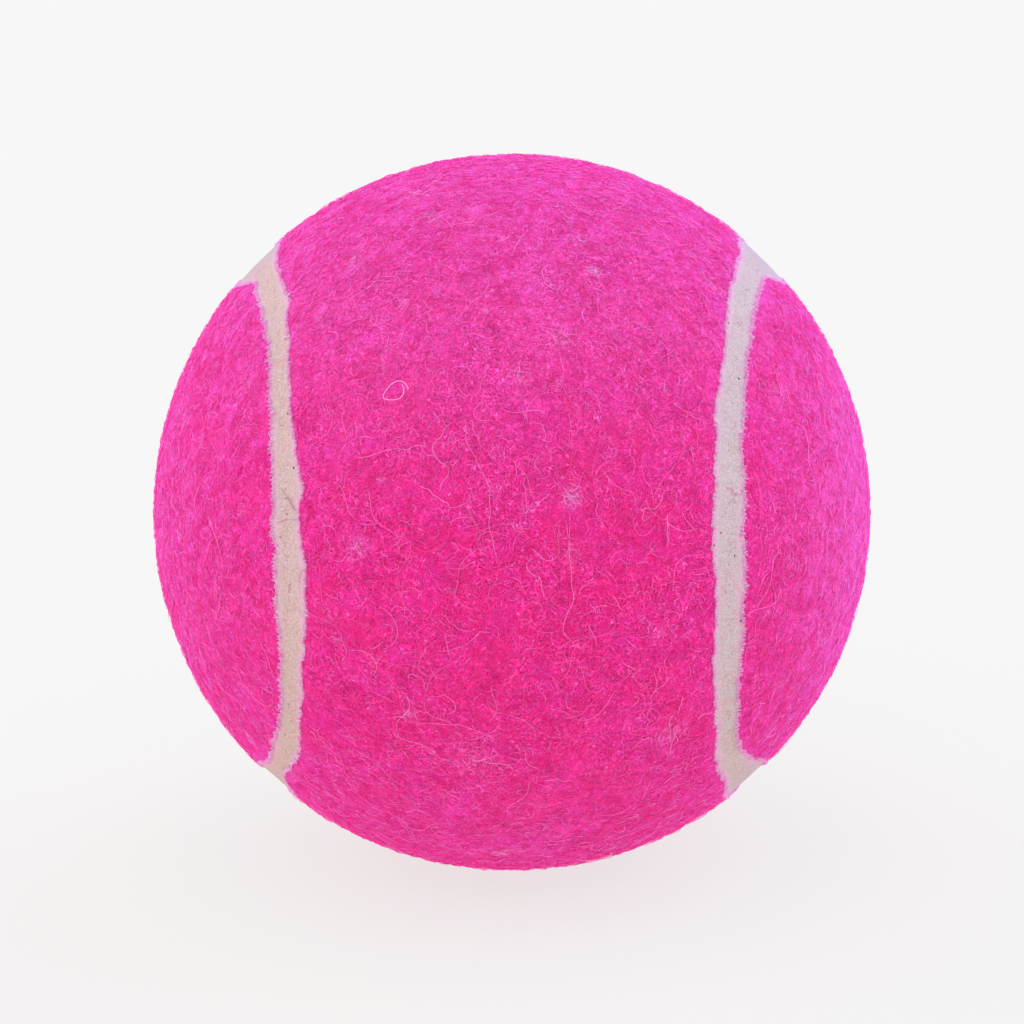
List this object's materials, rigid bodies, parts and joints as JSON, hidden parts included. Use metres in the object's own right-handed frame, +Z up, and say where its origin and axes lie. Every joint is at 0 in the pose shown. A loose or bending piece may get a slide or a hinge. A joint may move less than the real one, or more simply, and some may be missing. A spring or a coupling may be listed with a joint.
{
  "type": "tennis ball",
  "caption": "Hollow rubber ball covered by interlocking dumbbell-shaped felt panels, with a sunken rubber seam line between their edges.",
  "frame": {"origin": "centre of the ball", "axes": "+Z up, the outward side opposite the patch it rests on; -Y towards the waist of the upright felt panel, which faces the camera; +X to the camera's right"},
  "size_m": [0.067, 0.067, 0.0666],
  "materials": {
    "pink_felt": "fluffy wool and nylon felt with a raised nap",
    "seam_rubber": "matte off-white rubber with a faint lilac cast and small specks",
    "core_rubber": "matte, buffed before covering",
    "cement": "dried rubber cement, matte"
  },
  "bodies": {
    "root": {"core_half_upper": "core_rubber", "core_half_lower": "core_rubber", "core_joint_cement": "cement", "panel_cement_upright": "cement", "panel_cement_level": "cement", "felt_panel_upright": "pink_felt", "felt_panel_level": "pink_felt", "seam_rubber": "seam_rubber"}
  },
  "joints": []
}
